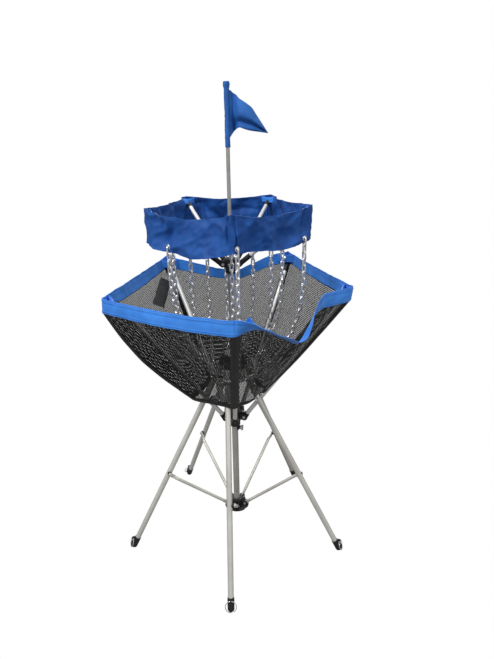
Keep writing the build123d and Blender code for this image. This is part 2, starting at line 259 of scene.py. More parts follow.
def node(tree, kind, inputs=None, **settings):
    made = tree.nodes.new(kind)
    for key, value in settings.items():
        setattr(made, key, value)
    for key, value in (inputs or {}).items():
        if isinstance(value, bpy.types.NodeSocket):
            tree.links.new(value, made.inputs[key])
        else:
            made.inputs[key].default_value = value
    return made


def math_node(tree, operation, first, second=0.0):
    return node(tree, "ShaderNodeMath", {0: first, 1: second}, operation=operation).outputs[0]


def object_noise(tree, scale, detail=3.0, stretch=(1, 1, 1)):
    """Noise over the object's own space, stretched along an axis where asked."""
    place = node(tree, "ShaderNodeTexCoord").outputs["Object"]
    spread = node(tree, "ShaderNodeMapping", {"Vector": place, "Scale": stretch})
    inputs = {"Vector": spread.outputs[0], "Scale": scale, "Detail": detail}
    return node(tree, "ShaderNodeTexNoise", inputs).outputs["Fac"]


def ramp(tree, factor, stops):
    """A colour ramp from (position, colour) pairs."""
    made = node(tree, "ShaderNodeValToRGB", {"Fac": factor})
    band = made.color_ramp
    while len(band.elements) < len(stops):
        band.elements.new(0.5)
    for element, (position, colour) in zip(band.elements, stops):
        element.position = position
        element.color = (*colour, 1)
    return made.outputs["Color"]


def bump(tree, shader, height, strength, distance):
    inputs = {"Height": height, "Strength": strength, "Distance": distance}
    made = node(tree, "ShaderNodeBump", inputs)
    tree.links.new(made.outputs[0], shader.inputs["Normal"])


def spread_roughness(tree, shader, factor, low, high):
    inputs = {"Value": factor, "From Min": 0.3, "From Max": 0.7, "To Min": low, "To Max": high}
    made = node(tree, "ShaderNodeMapRange", inputs)
    tree.links.new(made.outputs[0], shader.inputs["Roughness"])


def tube_metal(name, dark, light, low, high, metallic=0.85):
    """Satin drawn tube: long faint draw lines, a little colour drift, small scuffs."""
    material, tree, shader = principled(name)
    shader.inputs["Metallic"].default_value = metallic
    drift = object_noise(tree, 9, 2)
    tree.links.new(ramp(tree, drift, ((0.3, dark), (0.7, light))), shader.inputs["Base Color"])
    spread_roughness(tree, shader, object_noise(tree, 60, 4), low, high)
    bump(tree, shader, object_noise(tree, 900, 2, (1, 1, 0.05)), 0.12, 0.0004)
    return material


def moulded(name, dark, light, low, high):
    """Moulded nylon: an even fine grain, with handling marks in its gloss."""
    material, tree, shader = principled(name)
    shader.inputs["Specular IOR Level"].default_value = 0.4
    drift = object_noise(tree, 70, 4)
    tree.links.new(ramp(tree, drift, ((0.35, dark), (0.7, light))), shader.inputs["Base Color"])
    spread_roughness(tree, shader, object_noise(tree, 35, 3), low, high)
    bump(tree, shader, object_noise(tree, 2600, 1), 0.2, 0.0003)
    return material


def plated(name, dark, light, low, high):
    """Bright plated steel, with the cloudy patches of a zinc finish."""
    material, tree, shader = principled(name)
    shader.inputs["Metallic"].default_value = 0.75
    drift = object_noise(tree, 160, 4)
    tree.links.new(ramp(tree, drift, ((0.3, dark), (0.65, light))), shader.inputs["Base Color"])
    spread_roughness(tree, shader, object_noise(tree, 240, 3), low, high)
    bump(tree, shader, object_noise(tree, 700, 2), 0.15, 0.0003)
    return material


def woven(name, dark, light, thread=0.0008, sheen=0.35):
    """Coated woven nylon: warp and weft from the cloth's UVs, soft sheen, faint dirt."""
    material, tree, shader = principled(name)
    shader.inputs["Sheen Weight"].default_value = sheen
    shader.inputs["Sheen Roughness"].default_value = 0.4
    shader.inputs["Specular IOR Level"].default_value = 0.3
    drift = object_noise(tree, 26, 5)
    tree.links.new(ramp(tree, drift, ((0.3, dark), (0.68, light))), shader.inputs["Base Color"])
    spread_roughness(tree, shader, object_noise(tree, 40, 3), 0.5, 0.68)
    flat = node(tree, "ShaderNodeUVMap", uv_map="cloth").outputs[0]
    apart = node(tree, "ShaderNodeSeparateXYZ", {0: flat})
    turn = 2 * math.pi / thread
    warp = math_node(tree, "SINE", math_node(tree, "MULTIPLY", apart.outputs[0], turn))
    weft = math_node(tree, "SINE", math_node(tree, "MULTIPLY", apart.outputs[1], turn))
    bump(tree, shader, math_node(tree, "MULTIPLY", warp, weft), 0.35, 0.0002)
    return material


def netting(name, colour, pitch=0.0044, hole=0.00096):
    """A knitted net: round holes in staggered rows, cut by alpha from the cloth's UVs."""
    material, tree, shader = principled(name)
    shader.inputs["Base Color"].default_value = (*colour, 1)
    shader.inputs["Roughness"].default_value = 0.55
    shader.inputs["Specular IOR Level"].default_value = 0.2
    flat = node(tree, "ShaderNodeUVMap", uv_map="cloth").outputs[0]
    row = pitch * math.sqrt(3)
    distances = []
    for shift in (0.0, 0.5):
        inputs = {"Vector": flat, "Scale": (1 / pitch, 1 / row, 1), "Location": (shift, shift, 0)}
        cells = node(tree, "ShaderNodeMapping", inputs)
        part = node(tree, "ShaderNodeVectorMath", {0: cells.outputs[0]}, operation="FRACTION")
        centred = node(
            tree, "ShaderNodeVectorMath", {0: part.outputs[0], 1: (0.5, 0.5, 0)}, operation="SUBTRACT"
        )
        sized = node(
            tree, "ShaderNodeVectorMath", {0: centred.outputs[0], 1: (pitch, row, 0)}, operation="MULTIPLY"
        )
        length = node(tree, "ShaderNodeVectorMath", {0: sized.outputs[0]}, operation="LENGTH")
        distances.append(length.outputs["Value"])
    nearest = math_node(tree, "MINIMUM", *distances)
    solid = math_node(tree, "GREATER_THAN", nearest, hole)
    tree.links.new(solid, shader.inputs["Alpha"])
    bump(tree, shader, nearest, 0.5, 0.0006)
    return material


def webbing_cloth(name, dark, light, sheen):
    """Flat ribbed tape."""
    material, tree, shader = principled(name)
    shader.inputs["Sheen Weight"].default_value = sheen
    drift = object_noise(tree, 60, 4)
    tree.links.new(ramp(tree, drift, ((0.3, dark), (0.7, light))), shader.inputs["Base Color"])
    shader.inputs["Roughness"].default_value = 0.62
    flat = node(tree, "ShaderNodeUVMap", uv_map="cloth").outputs[0]
    apart = node(tree, "ShaderNodeSeparateXYZ", {0: flat})
    rib = math_node(tree, "SINE", math_node(tree, "MULTIPLY", apart.outputs[1], 2 * math.pi / 0.0016))
    bump(tree, shader, rib, 0.5, 0.0004)
    return material


POLE = tube_metal("pole_aluminium", (0.40, 0.395, 0.365), (0.52, 0.51, 0.475), 0.36, 0.5, 0.55)
LEG = tube_metal("leg_aluminium", (0.62, 0.60, 0.555), (0.78, 0.76, 0.71), 0.36, 0.5, 0.5)
ARM = tube_metal("arm_aluminium", (0.72, 0.715, 0.70), (0.86, 0.85, 0.83), 0.36, 0.5, 0.4)
HUB = moulded("black_hub", (0.010, 0.010, 0.011), (0.022, 0.022, 0.023), 0.34, 0.5)
FITTING = moulded("black_fitting", (0.009, 0.009, 0.009), (0.020, 0.020, 0.021), 0.3, 0.46)
SLEEVE = moulded("dark_sleeve", (0.045, 0.045, 0.048), (0.075, 0.075, 0.078), 0.36, 0.5)
CAP = moulded("grey_cap", (0.46, 0.44, 0.43), (0.58, 0.56, 0.55), 0.4, 0.55)
BRIGHT = plated("bright_steel", (0.52, 0.52, 0.51), (0.74, 0.74, 0.73), 0.18, 0.34)
RING = plated("ring_steel", (0.50, 0.50, 0.49), (0.78, 0.78, 0.77), 0.16, 0.3)
CHAIN = plated("chain_steel", (0.80, 0.80, 0.80), (1.0, 1.0, 1.0), 0.12, 0.26)
BLUE = woven("blue_cloth", (0.036, 0.225, 0.76), (0.056, 0.290, 0.90), sheen=0.25)
BAND_BLUE = woven("band_cloth", (0.006, 0.060, 0.27), (0.013, 0.098, 0.39), sheen=0.05)
FLAG = woven("flag_cloth", (0.013, 0.098, 0.37), (0.022, 0.142, 0.49), sheen=0.08)
# the stitching thread is the cloth's blue, darkened by painted shade for the grooves that the stitches sit in
GROOVE_SHADED_THREAD = webbing_cloth("blue_thread_painted_groove_shade", (0.008, 0.055, 0.27), (0.014, 0.085, 0.36), 0.2)
NET = netting("black_net", (0.0045, 0.0042, 0.0036))
TAPE = webbing_cloth("black_webbing", (0.0035, 0.0035, 0.0035), (0.008, 0.008, 0.008), 0.04)

CAD_MATERIALS = {
    POLE: ["lower_pole", "upper_pole", "flagpole"],
    LEG: [f"{part}_{k}" for part in ("leg_tube", "strut") for k in range(MEMBERS)],
    ARM: [f"{part}_{k}" for part in ("arm_tube", "band_arm_tube") for k in range(MEMBERS)],
    HUB: ["lower_hub", "arm_hub", "leg_hub", "top_hub", "pole_collar"],
    FITTING: [
        f"{part}_{k}"
        for part in ("leg_fittings", "arm_fittings", "band_arm_fittings")
        for k in range(MEMBERS)
    ],
    SLEEVE: ["sleeve_tube"],
    CAP: ["leg_hub_cap"],
    BRIGHT: ["lower_pins", "sleeve_pins", "top_pins", "lock_knob"],
    RING: [f"stake_ring_{k}" for k in range(MEMBERS)],
}
for material, names in CAD_MATERIALS.items():
    for name in names:
        slots = frame["nodes"][name].material_slots
        for number in range(len(slots)):
            slots[number].material = material


# ---- a five-cornered band's line
def half_span(corner, rounding):
    """The length from a rounded corner's middle to the middle line of a span."""
    return corner * math.sin(HALF) - rounding * math.tan(HALF) + rounding * HALF


def corner_place(k, s, corner, rounding):
    """The level point and outward normal at a signed distance s from arm k's corner."""
    out, side = arm_directions(k)
    centre = corner - rounding / math.cos(HALF)
    angle = max(-HALF, min(HALF, s / rounding))
    rest = s - angle * rounding
    normal = out * math.cos(angle) + side * math.sin(angle)
    along = side * math.cos(angle) - out * math.sin(angle)
    return out * centre + normal * rounding + along * rest, normal


def span_share(k, s, length):
    """Which span a signed distance from arm k's corner is on, and how far along it, 0 to 1."""
    share = abs(s) / (2 * length)
    return (k, share) if s >= 0 else ((k - 1) % MEMBERS, 1 - share)


# ---- rim band: how far each span's lower edge drops, and how far the band leans in, in degrees
# SLACK_DROP and SLACK_TILT are lightly rounded results of a fit to the picture
SLACK_DROP = (
    (0.0, 0.0), (0.08, -0.005), (0.16, -0.004), (0.23, 0.007), (0.32, 0.028), (0.42, 0.051),
    (0.49, 0.067), (0.545, 0.068), (0.60, 0.033), (0.65, 0.004), (0.69, -0.006), (0.8, -0.005), (1.0, 0.0),
)
SLACK_TILT = (
    (0.0, 0), (0.05, -35), (0.10, -60), (0.17, -79), (0.30, -83), (0.42, -77), (0.50, -62), (0.56, -50),
    (0.62, -24), (0.70, -9), (0.76, 0), (1.0, 0),
)
BACK_DROP = (
    (0.0, 0.0), (0.14, 0.008), (0.30, 0.030), (0.42, 0.047), (0.52, 0.044), (0.75, 0.024), (1.0, 0.0),
)
SPAN_SAG = (0.0, 0.002, 0.0, 0.006, 0.009)
CORNER_LEAN = (0, -2, 6, 3, 4)
SPAN_LEAN = (0, 2, 14, -14, 4)
RIM_LENGTH = half_span(RIM_CORNER, RIM_ROUND)
TOP_LENGTH = half_span(TOP_CORNER, TOP_ROUND)


def rim_drop(k, s):
    span, share = span_share(k, s, RIM_LENGTH)
    if span == 0:
        return curve(SLACK_DROP, share)
    if span == 2:
        return curve(BACK_DROP, share)
    return SPAN_SAG[span] * (1 - abs(2 * share - 1) ** 1.7)


def rim_tilt(k, s):
    span, share = span_share(k, s, RIM_LENGTH)
    if span == 0:
        return math.radians(curve(SLACK_TILT, share))
    ends = CORNER_LEAN[span] * (1 - share) + CORNER_LEAN[(span + 1) % MEMBERS] * share
    return math.radians(ends + SPAN_LEAN[span] * math.sin(math.pi * share))


def corner_shift(k, s):
    """How far the uneven corners carry the cloth outwards and up at a signed distance from arm k's."""
    span, share = span_share(k, s, RIM_LENGTH)
    shift = Vector()
    for end, weight in ((span, 1 - share), ((span + 1) % MEMBERS, share)):
        weight = weight**4 if span == 0 else weight
        out, _ = arm_directions(end)
        shift += (out * CORNER_REACH[end] + UP * CORNER_LIFT[end]) * weight
    return shift


def rim_point(k, s, t, lift=0.0):
    """The rim band's outer face: t is 0 at its lower edge, where the net is sewn on, and 1 at the top."""
    level, normal = corner_place(k, s, RIM_CORNER, RIM_ROUND)
    drop, tilt = rim_drop(k, s), rim_tilt(k, s)
    foot = level - normal * (max(0.0, drop) * RIM_LEAN)
    foot.z = RIM_TOP - RIM_HEIGHT - drop
    foot += corner_shift(k, s)
    rise = UP * math.cos(tilt) - normal * math.sin(tilt)
    facing = normal * math.cos(tilt) + UP * math.sin(tilt)
    peak = 1 + 0.04 * math.exp(-((s / 0.012) ** 2))
    belly = 0.0020 * math.sin(math.pi * t) + 0.0008 * (smooth((t - 0.74) / 0.04) + smooth((0.20 - t) / 0.04))
    belly -= 0.0012 * math.exp(-((s / 0.0016) ** 2))
    belly += 0.0024 * wave(foot, 17) * (0.4 + t) + 0.0012 * crease(foot + UP * t * 0.02, 34)
    slip = 0.0014 * wave(foot, 11, 4)
    return foot + rise * (RIM_HEIGHT * t * peak + slip) + facing * (belly - 0.0012 + lift)


# ---- net
NET_BELLY = (0.004, 0.005, 0.0, 0.004, 0.026)


def hem_point(k, f):
    """The net's lower edge; f is -1 to 1 from middle line to middle line round arm k."""
    length = half_span(HEM_CORNER, RIM_ROUND)
    level, _ = corner_place(k, f * length, HEM_CORNER, RIM_ROUND)
    span, share = (k, f / 2) if f >= 0 else ((k - 1) % MEMBERS, 1 + f / 2)
    for end, weight in ((span, 1 - share), ((span + 1) % MEMBERS, share)):
        level += arm_directions(end)[0] * HEM_REACH[end] * weight
    azimuth = math.degrees(math.atan2(level.x, -level.y)) % 360
    rise = 0.012 * math.exp(-(((azimuth - 68) / 26) ** 2))
    level.z = HEM_Z + rise + 0.0045 * wave(level, 30, 2)
    return level


def net_point(k, f, v, lift=0.0):
    """The net: v is 0 at the rim band and 1 at the hem."""
    high = rim_point(k, f * RIM_LENGTH, 0.04)
    low = hem_point(k, f)
    point = high.lerp(low, v)
    out, side = arm_directions(k)
    facing = (out * math.cos(HALF) + side * math.copysign(math.sin(HALF), f)).normalized()
    facing = (facing * 0.82 - UP * 0.57).normalized()
    slack = min(1.0, abs(f) / 0.25) * math.sin(math.pi * min(1.0, v)) ** 0.8
    ripple = 0.0055 * wave(point, 9, 3) + 0.0020 * crease(point, 16, 5)
    gather = 0.0035 * wave(Vector((point.x, point.y, 0)), 34, 9) * v * v * (1 - v) * 3
    belly = NET_BELLY[k] * math.sin(math.pi * min(1.0, v)) * (1 - abs(f))
    return point + facing * (slack * (ripple - 0.004) + gather + lift - 0.0018) + out * belly


def spaced(count, low=-1.0, high=1.0):
    return [low + (high - low) * n / (count - 1) for n in range(count)]


def corner_columns(length, rounding, count):
    """Signed distances from one middle line to the next, closer together round the corner."""
    arc = rounding * HALF
    straight = [length - (length - arc) * n / count for n in range(count)]
    straight.insert(1, length - 0.004 * length)
    bend = [arc * n / 4 for n in range(4, 0, -1)]
    right = straight + bend
    return [-s for s in right] + [0.0] + right[::-1]


RIM_ROWS = (
    0, 0.05, 0.10, 0.14, 0.17, 0.20, 0.24, 0.34, 0.44, 0.54, 0.64, 0.70, 0.74, 0.76, 0.78, 0.82, 0.90, 0.96, 1
)


def stitch_line(shape, place, distances, t, facing_lift=0.0004, thread=0.00035):
    """Short threads along a line: place(s, t, lift) is the cloth's face."""
    for near, far in distances:
        ends = [place(near, t, -0.0003), place(near + (far - near) * 0.2, t, facing_lift)]
        ends += [place(far - (far - near) * 0.2, t, facing_lift), place(far, t, -0.0003)]
        shape.tube(ends, thread, sides=5)


def dashes(length, pitch=0.0048, gap=0.0012):
    count = int(2 * length / pitch)
    return [(-length + n * pitch, -length + (n + 1) * pitch - gap) for n in range(count)]


def blend_on_arm(piece, k):
    """Bakes a basket cloth piece's placement into its mesh."""
    out, _ = arm_directions(k)
    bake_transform(piece)


def blend_on_band_arm(piece):
    """Bakes a top band piece's placement into its mesh."""
    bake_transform(piece)


def rim_band(k):
    columns = corner_columns(RIM_LENGTH, RIM_ROUND, 34)
    rows = [[rim_point(k, s, t) for s in columns] for t in RIM_ROWS]
    shape = Shape()
    shape.grid(rows, lambda i, j, _: (columns[j], RIM_ROWS[i] * RIM_HEIGHT))
    piece = shape.piece(f"rim_cloth_{k}", BLUE, CLOTH)
    if k == 0:
        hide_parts("rim_band")
    threads = Shape()
    # stitch lines in the thread that carries painted groove shade
    for t in (0.13, 0.81, 0.93):
        stitch_line(threads, lambda s, t, lift: rim_point(k, s, t, lift), dashes(RIM_LENGTH), t)
    sewn = threads.piece(f"rim_stitching_{k}", GROOVE_SHADED_THREAD)
    blend_on_arm(piece, k)
    blend_on_arm(sewn, k)


def net(k):
    columns = corner_columns(1.0, 0.06, 24)
    rows = [n / 40 for n in range(41)]
    grid = [[net_point(k, f, v) for f in columns] for v in rows]
    hem_length = half_span(HEM_CORNER, RIM_ROUND)
    slope = (grid[0][0] - grid[-1][0]).length

    def uv(i, j, left):
        length = RIM_LENGTH + (hem_length - RIM_LENGTH) * rows[i]
        f = columns[j]
        inner = (columns[left] + columns[left + 1]) / 2
        across = (f - 1) * length if inner > 0 else (f + 1) * length
        return across, rows[i] * slope

    shape = Shape()
    shape.grid(grid[::-1], lambda i, j, left: uv(len(rows) - 1 - i, j, left))
    piece = shape.piece(f"net_{k}", NET)
    if k == 0:
        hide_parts("basket_net")
    blend_on_arm(piece, k)
    hem, tape = net_hem(k), net_tape(k)


def net_hem(k):
    """The bound edge at the net's bottom."""
    columns = corner_columns(1.0, 0.06, 24)
    heights = (0.955, 0.965, 0.98, 0.99, 1.0)
    lifts = (0.0008, 0.0016, 0.0018, 0.0018, 0.0010)
    rows = [[net_point(k, f, v, lift) for f in columns] for v, lift in zip(heights, lifts)]
    shape = Shape()
    shape.grid(rows[::-1], lambda i, j, _: (heights[i] * 0.36, columns[j] * 0.06))
    piece = shape.piece(f"net_hem_{k}", TAPE, 0.0022)
    blend_on_arm(piece, k)
    return piece


def net_tape(k):
    """The flat tape sewn down the net's corner."""
    rows, uv_rows = [], spaced(41, 0.0, 0.985)
    for v in uv_rows:
        length = RIM_LENGTH + (half_span(HEM_CORNER, RIM_ROUND) - RIM_LENGTH) * v
        wander = 0.0012 * wave(Vector((v * 0.4, k, 0)), 12)
        places = (-0.013, -0.0125, -0.007, -0.003, 0, 0.003, 0.007, 0.0125, 0.013)
        lifts = (0.0002, 0.0012, 0.0014, 0.0014, 0.0014, 0.0014, 0.0014, 0.0012, 0.0002)
        rows.append([net_point(k, (s + wander) / length, v, lift) for s, lift in zip(places, lifts)])
    shape = Shape()
    shape.grid(rows[::-1], lambda i, j, _: (j * 0.003, uv_rows[i] * 0.36))
    piece = shape.piece(f"net_tape_{k}", TAPE, 0.0010)
    blend_on_arm(piece, k)
    return piece


def tie_strap():
    """The webbing strap that lies on the net below the back left corner."""
    k, rows, steps = 3, [], spaced(25, 0.0, 1.0)
    for q in steps:
        row = []
        for across in (-1, -0.96, -0.5, 0, 0.5, 0.96, 1):
            edge = 0.0004 if abs(across) == 1 else 0.0016
            f = 0.23 + 0.60 * q + 0.12 * across
            v = 0.085 + 0.125 * q - 0.045 * across
            row.append(net_point(k, f, v, -0.0030 - edge))
        rows.append(row)
    shape = Shape()
    shape.grid(rows, lambda i, j, _: (j * 0.005, steps[i] * 0.2))
    piece = shape.piece("tie_strap", TAPE, 0.0012, 0.0)
    blend_on_arm(piece, k)


def patch(name, left, right, bulge, peak, body):
    """A cloth pocket across the inside of a corner; left(t) and right(t) are its sewn ends."""
    rows = []
    for t in spaced(9, 0.0, 1.0):
        row = []
        for u in spaced(23, 0.0, 1.0):
            point = left(t).lerp(right(t), u)
            inwards = Vector((-point.x, -point.y, 0)).normalized()
            point = point + inwards * (bulge * math.sin(math.pi * u) ** 0.7 * (0.55 + 0.45 * t))
            rise = peak * math.exp(-(((u - 0.8) / 0.11) ** 2)) - 0.0022 * math.sin(math.pi * u)
            row.append(point + UP * (rise * t + 0.0007 * wave(point, 70)))
        rows.append(row)
    shape = Shape()
    shape.grid(rows[::-1], lambda i, j, _: (j * 0.005, i * 0.004))
    piece = shape.piece(name, BLUE, CLOTH, offset=0.0)
    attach(piece, body)


def snap(name, centre, facing, radius, body):
    """A pressed snap fastener: a low crowned button with a rolled edge."""
    across = facing.orthogonal().normalized()
    other = facing.cross(across)
    profile = (
        (1.0, -0.0006), (1.05, 0.0004), (1.0, 0.0012), (0.86, 0.0014), (0.78, 0.0009),
        (0.6, 0.0013), (0.3, 0.0018), (0.02, 0.0019),
    )
    rows = []
    for share, height in profile:
        ring = [2 * math.pi * n / 24 for n in range(24)]
        rows.append(
            [
                centre + facing * height + radius * share * (across * math.cos(a) + other * math.sin(a))
                for a in ring
            ]
        )
    shape = Shape()
    shape.grid(rows, closed=True)
    piece = shape.piece(name, BRIGHT)
    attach(piece, body)


def corner_pocket(k):
    """The pocket that holds an arm's tip inside the rim's corner, and its snap."""
    reach = 0.038
    left = lambda t: rim_point(k, -reach, 0.34 + 0.60 * t, -CLOTH)
    right = lambda t: rim_point(k, reach, 0.34 + 0.60 * t, -CLOTH)
    peak = 0.017 if k == 0 else 0.0
    patch(f"rim_pocket_{k}", left, right, 0.005, peak, f"arm_{k}")
    out, _ = arm_directions(k)
    middle = left(0.62).lerp(right(0.62), 0.5) - out * 0.0062
    snap(f"rim_snap_{k}", middle, (UP * 0.35 - out).normalized(), 0.0062, f"arm_{k}")


# ---- top band
TOP_FOLDS = {
    0: ((0.044, 0.010, 0.0045, 0.030), (-0.070, 0.012, -0.0050, 0.022), (0.088, 0.008, -0.0035, -0.025)),
    1: ((-0.037, 0.006, -0.0085, 0.004), (-0.058, 0.010, 0.0040, -0.020), (0.060, 0.009, 0.0040, 0.010)),
    2: ((0.040, 0.009, -0.0045, 0.012), (-0.066, 0.010, 0.0045, -0.018)),
    3: ((-0.050, 0.009, 0.0050, 0.016), (0.072, 0.010, -0.0040, -0.012)),
    4: ((0.050, 0.012, -0.0045, -0.030), (0.082, 0.009, 0.0050, 0.022), (-0.060, 0.010, 0.0040, 0.014)),
}
TOP_REACH = (0.003, 0.008, 0.003, 0.003, 0.014)
TOP_DIP = (0.014, 0.008, 0.008, 0.008, 0.020)
LOW_DIP = (0.010, 0.006, 0.006, 0.006, 0.024)


def top_point(k, s, t, lift=0.0):
    """The top band's outer face: t is 0 at its lower edge and 1 at its top."""
    level, normal = corner_place(k, s, TOP_CORNER, TOP_ROUND)
    span, share = span_share(k, s, TOP_LENGTH)
    bow = 1 - abs(2 * share - 1) ** 1.9
    high = TOP_TOP - TOP_DIP[span] * bow + 0.0025 * wave(level, 21, 6) * bow
    low = TOP_TOP - TOP_HEIGHT - LOW_DIP[span] * bow + 0.0035 * wave(level, 19, 8)
    point = level.copy()
    for end, weight in ((span, 1 - share), ((span + 1) % MEMBERS, share)):
        point += arm_directions(end)[0] * TOP_REACH[end] * weight**2
    point.z = low + (high - low) * t
    sway = 0.007 * wave(point, 8, 12) + 0.0075 * crease(point + normal * 0.3, 11, 14)
    sway += 0.0042 * crease(point, 20, 16) + 0.0018 * crease(point, 42, 18)
    for place, width, depth, slant in TOP_FOLDS[k]:
        across = (s - place - slant * (t - 0.5)) / width
        sway += depth * math.exp(-(across**2)) * (0.35 + 0.65 * math.sin(math.pi * (0.15 + 0.7 * t)))
    groove = 0.0006 * sum(math.exp(-(((t - line) / 0.012) ** 2)) for line in (0.07, 0.93))
    return point + normal * (sway * min(1.0, bow * 2 + 0.18) - groove + lift - 0.0010)


def blended_rows(count):
    return [smooth(n / (count - 1)) * 0.25 + 0.75 * n / (count - 1) for n in range(count)]


def top_band(k):
    columns = corner_columns(TOP_LENGTH, TOP_ROUND, 26)
    levels = blended_rows(27)
    rows = [[top_point(k, s, t) for s in columns] for t in levels]
    shape = Shape()
    shape.grid(rows, lambda i, j, _: (columns[j], levels[i] * TOP_HEIGHT))
    piece = shape.piece(f"top_cloth_{k}", BAND_BLUE, CLOTH)
    if k == 0:
        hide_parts("top_band")
    threads = Shape()
    # stitch lines in the thread that carries painted groove shade
    for t in (0.07, 0.93):
        stitch_line(threads, lambda s, t, lift: top_point(k, s, t, lift), dashes(TOP_LENGTH), t)
    sewn = threads.piece(f"top_stitching_{k}", GROOVE_SHADED_THREAD)
    blend_on_band_arm(piece)
    blend_on_band_arm(sewn)
    left = lambda t: top_point(k, -0.026, 0.80 + 0.18 * t, -CLOTH)
    right = lambda t: top_point(k, 0.026, 0.80 + 0.18 * t, -CLOTH)
    patch(f"top_pocket_{k}", left, right, 0.003, 0.0, f"band_arm_{k}")


# ---- eyelets in the top band's lower edge
def grommet_place(i):
    """The arm, the distance from its corner, and t where grommet i is."""
    azimuth = GROMMET_AZIMUTH + 360 / GROMMETS * i
    k = round((azimuth - ARM_AZIMUTH) / STEP) % MEMBERS
    turn = math.radians((azimuth - ARM_AZIMUTH - STEP * k + 180) % 360 - 180)
    apothem = TOP_CORNER * math.cos(HALF)
    s = TOP_LENGTH - apothem * math.tan(HALF - abs(turn))
    return k, math.copysign(s, turn), EYELET_RISE / TOP_HEIGHT


def eyelet(i):
    k, s, t = grommet_place(i)
    centre = top_point(k, s, t)
    _, normal = corner_place(k, s, TOP_CORNER, TOP_ROUND)
    side = UP.cross(normal)
    profile = (
        (0.0034, -0.0022), (0.0034, 0.0006), (0.0040, 0.0012), (0.0052, 0.0011), (0.0066, 0.0004),
        (0.0069, 0.0), (0.0069, -0.0018), (0.0060, -0.0024), (0.0034, -0.0026),
    )
    rows = []
    for radius, height in profile:
        ring = [2 * math.pi * n / 28 for n in range(28)]
        rows.append(
            [centre + normal * height + radius * (side * math.cos(a) + UP * math.sin(a)) for a in ring]
        )
    shape = Shape()
    shape.grid(rows, closed=True)
    piece = shape.piece(f"eyelet_{i}", BRIGHT)
    if i == 0:
        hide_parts("grommets")
    blend_on_band_arm(piece)
    return centre


# ---- chains
def link(shape, centre, along, across):
    """One straight-sided link: along is the chain's line, across is the link's width."""
    along = along.normalized()
    across = (across - along * across.dot(along)).normalized()
    radius = LINK_WIDTH / 2 - WIRE_R
    straight = LINK_LENGTH / 2 - LINK_WIDTH / 2
    path = []
    for end in (1, -1):
        for n in range(7):
            a = math.pi * n / 6
            x, y = radius * math.cos(a), straight + radius * math.sin(a)
            path.append(centre + end * (across * x + along * y))
    shape.tube(path, WIRE_R, sides=7, closed=True)


def even_steps(line, pitch, start=0.0):
    """Points every pitch along a line of points, with the line's direction there."""
    places, travelled, wanted = [], 0.0, start
    for a, b in zip(line, line[1:]):
        length = (b - a).length
        while wanted <= travelled + length:
            places.append((a.lerp(b, (wanted - travelled) / length), (b - a).normalized()))
            wanted += pitch
        travelled += length
    return places


def hanging_line(top, bottom, sharpness):
    """From top, steeply down and then in to bottom, as a slack chain hangs."""
    line = []
    for n in range(81):
        q = n / 80
        point = top.lerp(bottom, q**sharpness)
        point.z = top.z + (bottom.z - top.z) * q
        line.append(point)
    return line


def strand_foot(azimuth):
    """Where a strand meets the ring of chain round the pole."""
    return spot(azimuth, RING_R + 0.003, RING_Z + 0.007)


def strand(line, first_across, upper, middle, lower):
    """Links along a line, to the shape for their height: parted at SPLIT_Z and at FOLD_Z."""
    twist = random.uniform(-0.25, 0.25)
    for n, (centre, along) in enumerate(even_steps(line, PITCH, PITCH / 2)):
        turn = Matrix.Rotation(math.pi / 2 * (n % 2) + twist * n * 0.35, 3, along)
        across = turn @ first_across
        along = (along + 0.05 * noise.random_vector()).normalized()
        shape = upper if centre.z > SPLIT_Z else middle if centre.z > FOLD_Z else lower
        link(shape, centre, along, across)


def follow_band_arm(piece, top_z, weight):
    """Places a strand: one with almost no weight is parented to the top pole, any other has its placement
    baked into its mesh.
    """
    if weight < 0.02:
        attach(piece, "top_pole")
        return
    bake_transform(piece)


def cloth_weight(k, point):
    """A weight at a point, from 0 towards the span's middle to 1 near band arm k's corner."""
    out, _ = arm_directions(k)
    start = TOP_CORNER * math.cos(HALF) ** 2 + 0.002
    return smooth((point.dot(out) - start) / (TOP_CORNER - 0.012 - start))


def chains():
    middle, lower = Shape(), Shape()
    for i in range(GROMMETS):
        hole = eyelet(i)
        k, s, _ = grommet_place(i)
        _, normal = corner_place(k, s, TOP_CORNER, TOP_ROUND)
        azimuth = GROMMET_AZIMUTH + 360 / GROMMETS * i
        foot = strand_foot(azimuth + OUTER_TURN)
        top = hole - normal * 0.0008
        upper = Shape()
        strand(hanging_line(top, foot, OUTER_HANG[i]), normal, upper, middle, lower)
        piece = upper.piece(f"chain_outer_{i}", CHAIN)
        if i == 0:
            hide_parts("chains")
        follow_band_arm(piece, top.z, cloth_weight(k, hole))
    for k in range(MEMBERS):
        out, side = arm_directions(k)
        height = band_arm_pivot.z + BAND_ARM_SLOPE * (INNER_REACH - BAND_ARM_PIVOT_R)
        axis = out * INNER_REACH + UP * height
        lean = (out + UP * BAND_ARM_SLOPE).normalized()
        upper = Shape()
        other = lean.cross(side)
        below = axis + other.normalized() * 0.0028 * (1 if other.z < 0 else -1)
        ring = [2 * math.pi * n / 28 for n in range(28)]
        circle = [below + SPLIT_RING_R * (side * math.cos(a) + other * math.sin(a)) for a in ring]
        upper.tube(circle, SPLIT_RING_WIRE, sides=8, closed=True)
        top = below - UP * 0.0085
        foot = strand_foot(ARM_AZIMUTH + STEP * k + INNER_TURN)
        strand(hanging_line(top, foot, INNER_HANG), side, upper, middle, lower)
        piece = upper.piece(f"chain_inner_{k}", CHAIN)
        follow_band_arm(piece, top.z, 1.0)
    count = round(2 * math.pi * RING_R / PITCH)
    for n in range(count):
        azimuth = 360 / count * n
        out, side = directions(azimuth)
        centre = spot(azimuth, RING_R, RING_Z + 0.0025 * math.sin(math.radians(2 * azimuth + 40)))
        across = UP if n % 2 else out
        link(lower, centre, side, across + 0.25 * noise.random_vector())
    piece = lower.piece("chain_lower", CHAIN)
    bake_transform(piece)
    piece = middle.piece("chain_middle", CHAIN)
    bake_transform(piece)


